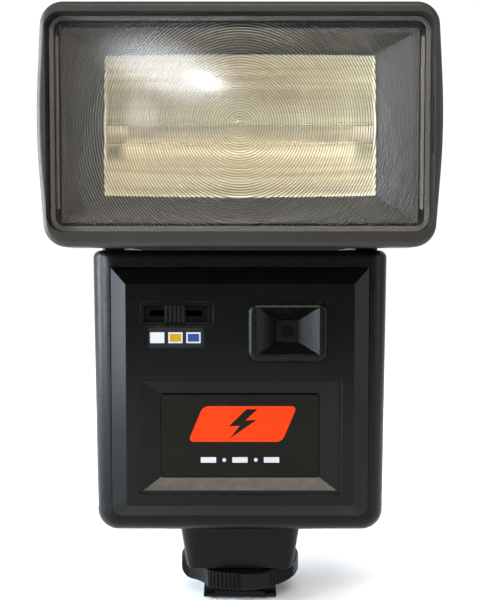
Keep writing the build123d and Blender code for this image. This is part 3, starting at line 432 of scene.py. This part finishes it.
SURFACES = {
    "case_black": dict(
        colour=(0.0032, 0.0035, 0.0031),
        rough=0.30,
        specular=0.14,
        uneven=0.04,
        grain=0.22,
        depth=0.006,
        wear_and_highlight=0.45,
        dust=0.03,
    ),
    "bezel_grey": dict(
        colour=(0.019, 0.0175, 0.0155),
        rough=0.42,
        specular=0.33,
        grain=0.25,
        depth=0.01,
        wear_and_highlight=0.25,
        dust=0.04,
    ),
    "panel_black": dict(
        colour=(0.0016, 0.0020, 0.0015),
        rough=0.22,
        specular=0.17,
        depth=0.003,
        uneven=0.03,
        # Painted highlight: this strong edge lightening draws light lines along the panel's edges,
        # besides rubbed wear.
        wear_and_highlight=0.9,
        dust=0.05,
    ),
    "badge_black": dict(
        colour=(0.0068, 0.0066, 0.0046),
        rough=0.36,
        specular=0.08,
        grain=0.2,
        depth=0.003,
        dust=0.02,
    ),
    "sensor_black": dict(
        colour=(0.0028, 0.0034, 0.0030),
        rough=0.27,
        specular=0.14,
        depth=0.003,
        uneven=0.02,
        wear_and_highlight=0.8,
        dust=0.02,
    ),
    "reflector_metal": dict(
        colour=(0.91, 0.775, 0.61),
        rough=0.6,
        metal=0.6,
        grain=0.25,
        depth=0.01,
        mottle=0.28,
        uneven=0.08,
        cloud=1.8,
        stretch=(0.04, 1, 1),
    ),
    "screw_black": dict(
        colour=(0.05, 0.05, 0.05),
        rough=0.36,
        metal=1.0,
        grain=0.25,
        depth=0.006,
        mottle=0.12,
        wear_and_highlight=0.5,
    ),
    "steel": dict(
        colour=(0.42, 0.42, 0.41),
        rough=0.34,
        metal=1.0,
        grain=0.25,
        depth=0.006,
        mottle=0.12,
        uneven=0.1,
        dust=0.02,
    ),
    "contact_gold": dict(
        colour=(0.83, 0.62, 0.28),
        rough=0.28,
        metal=1.0,
        grain=0.2,
        depth=0.004,
        mottle=0.12,
        uneven=0.1,
    ),
    "spring_steel": dict(
        colour=(0.5, 0.5, 0.5),
        rough=0.3,
        metal=1.0,
        grain=0.2,
        depth=0.004,
        stretch=(1, 1, 6),
    ),
    "board_brown": dict(
        colour=(0.24, 0.13, 0.05),
        rough=0.5,
        grain=0.5,
        depth=0.01,
        stretch=(1, 1, 5),
        mottle=0.25,
    ),
    "table_print": dict(
        colour=(0.014, 0.015, 0.016),
        rough=0.35,
        specular=0.25,
        grain=0.2,
        depth=0.002,
        dust=0.02,
    ),
    "knob_black": dict(
        colour=(0.003, 0.003, 0.003), rough=0.38, specular=0.16, wear_and_highlight=0.4, depth=0.005
    ),
    "baffle_black": dict(
        colour=(0.040, 0.0395, 0.0395), rough=0.42, specular=0.4, depth=0.008
    ),
    "button_grey": dict(
        colour=(0.16, 0.16, 0.165), rough=0.4, specular=0.4, grain=0.25, wear_and_highlight=0.3
    ),
    "label_print": dict(colour=(0.012, 0.012, 0.012), rough=0.35, specular=0.15, depth=0.002),
    "tungsten": dict(colour=(0.80, 0.71, 0.57), rough=0.6, metal=0.3, grain=0.2),
    "component_mix": dict(colour=(0.05, 0.09, 0.15), rough=0.4, specular=0.5, mottle=0.4),
    "ferrite": dict(colour=(0.05, 0.048, 0.046), rough=0.6, grain=0.4, depth=0.02),
    "capacitor_sleeve": dict(colour=(0.02, 0.03, 0.09), rough=0.3, specular=0.5),
    "cell_jacket": dict(colour=(0.28, 0.17, 0.04), rough=0.28, metal=0.6, mottle=0.2),
    "nickel": dict(colour=(0.66, 0.62, 0.55), rough=0.26, metal=1.0, depth=0.004),
    "inner_black": dict(colour=(0.02, 0.02, 0.02), rough=0.55, grain=0.4, depth=0.02),
    "silicone": dict(colour=(0.74, 0.67, 0.55), rough=0.5, specular=0.4, grain=0.4),
    "wire": dict(colour=(0.03, 0.028, 0.028), rough=0.42, specular=0.4),
}
CLEARS = {
    "clear_window": dict(rough=0.01),
    "dark_window": dict(tint_and_painted_light=(0.012, 0.010, 0.012), rough=0.05),
    "tube_glass": dict(rough=0.005, ior=1.12),
    "lamp_amber": dict(tint_and_painted_light=(1.0, 0.36, 0.06), rough=0.05, haze=0.25),
    "lamp_green": dict(tint_and_painted_light=(0.12, 0.75, 0.22), rough=0.05, haze=0.25),
}
MATERIALS = {name: surface(name, **look) for name, look in SURFACES.items()}
MATERIALS.update({name: clear(name, **look) for name, look in CLEARS.items()})


def paint_nodes():
    """Gives every CAD node its slot's material, but the lens panel, which is replaced."""
    for node, slot in MATERIAL_SLOTS.items():
        mesh = NODES[node].data
        mesh.materials.clear()
        mesh.materials.append(MATERIALS.get(slot))


# Shapes --------------------------------------------------------------------------------------

# In metres: corners nearer than this become one.
PANEL_WELD, PRINT_WELD = 1e-6, 1e-7


def rounded_outline(x, z, radius, steps=8):
    """Points of a rounded rectangle in the front plane, anticlockwise from the upper right."""
    corners = (
        (x[1] - radius, z[1] - radius, 0),
        (x[0] + radius, z[1] - radius, 90),
        (x[0] + radius, z[0] + radius, 180),
        (x[1] - radius, z[0] + radius, 270),
    )
    points = []
    for cx, cz, turn in corners:
        for step in range(steps + 1):
            angle = math.radians(turn + 90 * step / steps)
            points.append((cx + radius * math.cos(angle), cz + radius * math.sin(angle)))
    return points


def bar(x, z, width, height, radius=0.1):
    """The outline of a small rounded bar about (x, z)."""
    sides = (x - width / 2, x + width / 2), (z - height / 2, z + height / 2)
    return rounded_outline(*sides, radius, steps=3)


def prism(outline, start, end):
    """A solid with this (x, z) outline between two y planes."""
    bm = bmesh.new()
    one = [bm.verts.new(Vector((x, start, z)) * MM) for x, z in outline]
    other = [bm.verts.new(Vector((x, end, z)) * MM) for x, z in outline]
    bm.faces.new(one)
    bm.faces.new(other[::-1])
    for i in range(len(one)):
        j = (i + 1) % len(one)
        bm.faces.new((one[j], one[i], other[i], other[j]))
    bmesh.ops.recalc_face_normals(bm, faces=bm.faces)
    return bm


def carve(obj, tool, operation):
    """Applies a boolean with tool, which is then removed."""
    modifier = obj.modifiers.new("carve", "BOOLEAN")
    modifier.operation = operation
    modifier.solver = "EXACT"
    modifier.object = tool
    shape = obj.evaluated_get(bpy.context.evaluated_depsgraph_get())
    mesh = bpy.data.meshes.new_from_object(shape)
    obj.modifiers.clear()
    obj.data = mesh
    bpy.data.objects.remove(tool)
    return obj


# Fresnel lens --------------------------------------------------------------------------------

LENS_CENTRE = 115.6
LENS_INDEX = 1.49
RING_PITCH = 0.58
RING_FOCUS = 75.0
RING_REACH = 46.0
RING_SEGMENTS = 192
RISER_WIDTH = 0.21
GROOVE_Y = -33.9
GROOVE_END = -31.0

# In radians, and near the sine of 1 at which light would no longer leave the facet.
FACET_STEEPEST = 1.2
FACET_STEP = 0.012
FACET_LAST_SINE = 0.995

# The rings stop at a rounded rectangle inside the panel's rim.
POCKET_X, POCKET_Z, POCKET_RADIUS = (-39.0, 39.0), (93.9, 137.7), 0.6
POCKET_Y = (-34.3, -31.5)

# The y of a normal that leans, as the facets' and risers' do, and how near a plane counts as on it.
LEANING = (0.01, 0.9995)
NEAR = 0.01
RIM_DEPTH = 0.2
SHARP_ANGLE = 14

LENS_LOOKS = {
    "clear_lens": dict(rough=0.012, dust=0.05, coat=0.25),
    # Painted shade: the risers are tinted dark so that the rings show as dark lines.
    "clear_lens_risers": dict(tint_and_painted_light=(0.20, 0.18, 0.145), rough=0.3, ior=1.16, haze=0.22),
    "clear_lens_edge": dict(tint_and_painted_light=(0.55, 0.52, 0.48), rough=0.2, haze=0.22),
    "clear_lens_facets": dict(rough=0.02, glint=0.08),
}
PLAIN, RISER, EDGE, FACET = range(len(LENS_LOOKS))


def facet_angle(radius):
    """The slope of the groove at radius, which turns light from the focus straight ahead."""
    deviation = math.atan(radius / RING_FOCUS)
    angle = 0.0
    while angle < FACET_STEEPEST:
        bent = LENS_INDEX * math.sin(angle)
        if bent >= FACET_LAST_SINE or math.asin(bent) - angle >= deviation:
            break
        angle += FACET_STEP
    return angle


def groove_profile():
    """(radius, y) down the grooves from the centre out: a sloped facet, then a steep riser."""
    profile = []
    for ring in range(int(RING_REACH / RING_PITCH)):
        inner, outer = ring * RING_PITCH, (ring + 1) * RING_PITCH
        start = inner + (RISER_WIDTH if ring else 0.0)
        rise = math.tan(facet_angle((inner + outer) / 2)) * (outer - start)
        profile += [(start, GROOVE_Y + rise), (outer, GROOVE_Y)]
    return profile


def revolved(profile):
    """A (radius, y) profile turned about the line through the lens's centre, along y."""
    bm = bmesh.new()
    rings = []
    for radius, y in profile:
        if radius == 0:
            rings.append([bm.verts.new((0, y * MM, LENS_CENTRE * MM))])
            continue
        turns = (2 * math.pi * i / RING_SEGMENTS for i in range(RING_SEGMENTS))
        points = (
            (radius * math.cos(t), y, LENS_CENTRE + radius * math.sin(t)) for t in turns
        )
        rings.append([bm.verts.new(Vector(p) * MM) for p in points])
    for one, other in zip(rings, rings[1:]):
        for i in range(RING_SEGMENTS):
            j = (i + 1) % RING_SEGMENTS
            if len(one) == 1:
                bm.faces.new((one[0], other[i], other[j]))
            elif len(other) == 1:
                bm.faces.new((one[i], other[0], one[j]))
            else:
                bm.faces.new((one[i], other[i], other[j], one[j]))
    bmesh.ops.recalc_face_normals(bm, faces=bm.faces)
    return bm


def panel_copy():
    """The CAD lens panel as a closed mesh of its own."""
    bm = bmesh.new()
    panel = NODES["lens_panel"].data
    corners = [bm.verts.new(v.co) for v in panel.vertices]
    for face in panel.polygons:
        bm.faces.new([corners[i] for i in face.vertices])
    bmesh.ops.remove_doubles(bm, verts=bm.verts, dist=PANEL_WELD)
    bmesh.ops.recalc_face_normals(bm, faces=bm.faces)
    return made("fresnel_lens", bm)


def lens_look(face, front):
    """Which look a face of the lens takes: by its lean in the grooves, or at the panel's rim."""
    outward = face.center - Vector((0, 0, LENS_CENTRE * MM))
    outward.y = 0
    leaning = LEANING[0] < abs(face.normal.y) < LEANING[1]
    if leaning and face.center.y > (GROOVE_Y - NEAR) * MM:
        return RISER if face.normal.dot(outward) < 0 else FACET
    if front + NEAR * MM < face.center.y < (GROOVE_Y - RIM_DEPTH) * MM:
        return EDGE
    return PLAIN


def fresnel_lens():
    """The CAD lens panel with its concentric grooves cut into the back."""
    lens = panel_copy()
    profile = groove_profile()
    reach = profile[-1][0]
    grooves = made("grooves", revolved(profile + [(reach, GROOVE_END), (0.0, GROOVE_END)]))
    pocket = made("pocket", prism(rounded_outline(POCKET_X, POCKET_Z, POCKET_RADIUS), *POCKET_Y))
    carve(lens, carve(pocket, grooves, "INTERSECT"), "DIFFERENCE")
    mesh = lens.data
    mesh.materials.clear()
    for name, look in LENS_LOOKS.items():
        mesh.materials.append(clear(name, **look))
    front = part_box("lens_panel")[0].y
    for face in mesh.polygons:
        face.use_smooth = True
        face.material_index = lens_look(face, front)
    mesh.set_sharp_from_angle(angle=math.radians(SHARP_ANGLE))
    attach(lens, "head")
    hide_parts("lens_panel")


# Springs -------------------------------------------------------------------------------------

SPRING_AXES = {"scale_y": 1, "scale_z": 2}


def coil_springs(joint):
    """Copies of the springs under a sliding joint's part, in place of the CAD springs."""
    for row in joint.get("deforming_nodes", ()):
        node, way = row["node"], SPRING_AXES[row["mode"]]
        spring = add_object(f"{node}_coil", NODES[node].data.copy())
        low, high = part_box(node)
        axis, anchor = Vector((0, 0, 0)), (low + high) / 2
        axis[way] = 1.0
        anchor[way] = row["fixed_end_y_m" if way == 1 else "fixed_end_z_m"]
        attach(spring, joint["parent"])
        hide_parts(node)
        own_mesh(spring)


# Prints and marks ----------------------------------------------------------------------------

PRINT_THICK = 0.04
PRINT_LOOK = dict(rough=0.4, specular=0.12, grain=0.15, depth=0.002, mottle=0.05, rounding=0.01)
INKS = {
    "white": (0.46, 0.46, 0.475),
    "orange": (0.66, 0.031, 0.001),
    "yellow": (0.36, 0.215, 0.006),
    "blue": (0.018, 0.046, 0.17),
    "sky": (0.07, 0.17, 0.46),
}
PRINTS = {ink: surface(f"print_{ink}", colour, **PRINT_LOOK) for ink, colour in INKS.items()}

# curve.size is this many times the height of a numeral.
FONT_SCALE = 1.4
FONT_STEPS = 3


def print_piece(name, bm, ink, body):
    obj = made(name, bm)
    obj.data.materials.append(PRINTS[ink])
    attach(obj, body)
    return obj


def printed(name, outlines, face_y, side, ink, body, slot):
    """Thin raised print: closed (x, z) outlines standing on the face at face_y."""
    whole = bmesh.new()
    for outline in outlines:
        part = prism(outline, face_y, face_y + side * PRINT_THICK)
        scrap = bpy.data.meshes.new("scrap")
        part.to_mesh(scrap)
        part.free()
        whole.from_mesh(scrap)
        bpy.data.meshes.remove(scrap)
    return print_piece(name, whole, ink, body)


def lettering(name, words, face_y, side, ink, body, slot):
    """Printed numbers: (text, x, z, height) each, standing on the face at face_y."""
    whole = bmesh.new()
    turn = Matrix.Rotation(math.pi if side == BACK else 0, 4, "Z")
    turn = turn @ Matrix.Rotation(math.pi / 2, 4, "X")
    for text, x, z, height in words:
        curve = bpy.data.curves.new("scrap", "FONT")
        curve.body = text
        curve.size = height * FONT_SCALE * MM
        curve.align_x = "CENTER"
        curve.align_y = "CENTER"
        curve.resolution_u = FONT_STEPS
        curve.extrude = PRINT_THICK / 2 * MM
        word = add_object("scrap", curve)
        shape = word.evaluated_get(bpy.context.evaluated_depsgraph_get())
        mesh = bpy.data.meshes.new_from_object(shape)
        place = Vector((x, face_y + side * PRINT_THICK / 2, z)) * MM
        mesh.transform(Matrix.Translation(place) @ turn)
        whole.from_mesh(mesh)
        bpy.data.objects.remove(word)
        bpy.data.meshes.remove(mesh)
        bpy.data.curves.remove(curve)
    bmesh.ops.remove_doubles(whole, verts=whole.verts, dist=PRINT_WELD)
    print_piece(name, whole, ink, body)


# Front: the badge, a slanted pill with a flash sign cut through it over a row of plain marks, and
# the mode label's coloured squares. A size is (width, height, corner radius).
BADGE_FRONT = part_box("badge_plate")[0].y / MM
SIGN_X, SIGN_Z, SIGN_SIZE = 0.6, 48.1, (22.0, 8.4, 1.2)
SIGN_SLANT = 0.42
BOLT = (
    (-0.16, 1.0),
    (-0.86, -0.16),
    (-0.14, -0.12),
    (-0.46, -1.0),
    (0.86, 0.30),
    (0.10, 0.24),
    (0.60, 1.0),
)
BOLT_SCALE = 3.5
BOLT_CUT = 1
MARKS_Z = 39.6
DASH_XS, DASH_SIZE = (-7.4, 0.0, 7.4), (3.6, 1.3)
DOT_XS, DOT_SIZE = (-3.7, 3.7), (0.9, 0.9, 0.44)

LABEL_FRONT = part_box("mode_label")[0].y / MM
LABEL_XS = {"white": -19.1, "yellow": -14.9, "blue": -10.75}
LABEL_Z = 68.5
LABEL_SQUARE, LABEL_INK = (3.3, 2.5, 0.05), (2.6, 1.8, 0.05)


def slanted(points):
    return [(x + (z - SIGN_Z) * SIGN_SLANT, z) for x, z in points]


def make_badge():
    on_badge = ("body", "label_print")
    pill = slanted(bar(SIGN_X, SIGN_Z, *SIGN_SIZE))
    sign = printed("badge_sign", [pill], BADGE_FRONT, FRONT, "orange", *on_badge)
    bolt = slanted((SIGN_X + x * BOLT_SCALE, SIGN_Z + z * BOLT_SCALE) for x, z in BOLT)
    cutter = made("bolt", prism(bolt, BADGE_FRONT - BOLT_CUT, BADGE_FRONT + BOLT_CUT))
    carve(sign, cutter, "DIFFERENCE")
    marks = [bar(x, MARKS_Z, *DASH_SIZE) for x in DASH_XS]
    marks += [bar(x, MARKS_Z, *DOT_SIZE) for x in DOT_XS]
    printed("badge_dashes", marks, BADGE_FRONT, FRONT, "white", *on_badge)


def make_label():
    """White squares, with the coloured ones printed over the last two."""
    on_label = ("body", "label_print")
    for ink, x in LABEL_XS.items():
        square = [bar(x, LABEL_Z, *LABEL_SQUARE)]
        printed(f"label_{ink}", square, LABEL_FRONT, FRONT, "white", *on_label)
        if ink != "white":
            square, top = [bar(x, LABEL_Z, *LABEL_INK)], LABEL_FRONT - PRINT_THICK
            printed(f"label_{ink}_ink", square, top, FRONT, ink, *on_label)


# Back: the exposure table, and the scale on the film speed strip that slides behind its window. A
# row of numbers is its z, the step between numbers and their height.
TABLE_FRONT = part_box("exposure_table")[1].y / MM
STRIP_FRONT = 22.2
DISTANCES = ("1", "1.4", "2", "2.8", "4", "5.6", "8")
STOPS = ("16", "11", "8", "5.6", "4", "2.8", "2")
SPEEDS = ("25", "50", "100", "200", "400")
DISTANCE_ROW = (66.3, 5.8, 1.7)
SPEED_ROW = (47.6, 4.6, 1.5)
STOP_ROW = (60.6, 4.6, 1.9)
RANGES = (
    ("white", 76.0, DISTANCES),
    ("yellow", 73.2, DISTANCES[2:]),
    ("sky", 70.4, DISTANCES[3:]),
)
RANGE_STEP, RANGE_HEIGHT = 5.6, 1.6
SWATCH_X, SWATCH_SIZE = 23.6, (2.6, 1.7)
TICK_Z, TICK_SIZE = 49.35, (0.2, 0.9, 0.05)
GRID_ZS, GRID_XS = (78.0, 74.6, 71.8, 68.8), (-25.0, 21.2, 25.0)
GRID_WIDTH, GRID_HEIGHT, GRID_MIDDLE = 50.0, 9.2, 73.4
LINE_WIDTH, LINE_RADIUS = 0.16, 0.05


def columns(count, step):
    """The x of count columns about the middle, from left to right as seen from behind."""
    return [(count / 2 - 0.5 - i) * step for i in range(count)]


def spread_out(texts, z, step, height):
    return [(text, x, z, height) for text, x in zip(texts, columns(len(texts), step))]


def make_table():
    on_table = ("body", "table_print")
    distances, speeds = spread_out(DISTANCES, *DISTANCE_ROW), spread_out(SPEEDS, *SPEED_ROW)
    lettering("table_distances", distances, TABLE_FRONT, BACK, "white", *on_table)
    lettering("table_speeds", speeds, TABLE_FRONT, BACK, "white", *on_table)
    for ink, z, texts in RANGES:
        swatch = [bar(SWATCH_X, z, *SWATCH_SIZE)]
        printed(f"table_{ink}_square", swatch, TABLE_FRONT, BACK, ink, *on_table)
        words = spread_out(texts, z, RANGE_STEP, RANGE_HEIGHT)
        lettering(f"table_{ink}_row", words, TABLE_FRONT, BACK, ink, *on_table)
    lines = [bar(0, z, GRID_WIDTH, LINE_WIDTH, LINE_RADIUS) for z in GRID_ZS]
    lines += [bar(x, GRID_MIDDLE, LINE_WIDTH, GRID_HEIGHT, LINE_RADIUS) for x in GRID_XS]
    printed("table_lines", lines, TABLE_FRONT, BACK, "white", *on_table)
    ticks = [bar(x, TICK_Z, *TICK_SIZE) for x in columns(len(SPEEDS), SPEED_ROW[1])]
    printed("table_ticks", ticks, TABLE_FRONT, BACK, "white", *on_table)
    on_strip = ("film_speed_slide", "table_print")
    lettering("scale_stops", spread_out(STOPS, *STOP_ROW), STRIP_FRONT, BACK, "white", *on_strip)


make_camera()
bpy.context.scene.view_settings.view_transform = "Standard"
make_world()
make_lights()
make_floor()

paint_nodes()
fresnel_lens()
for joint in frame["record"]["behaviour"]["joints"]:
    if joint["type"] == "slide":
        coil_springs(joint)
make_badge()
make_label()
make_table()
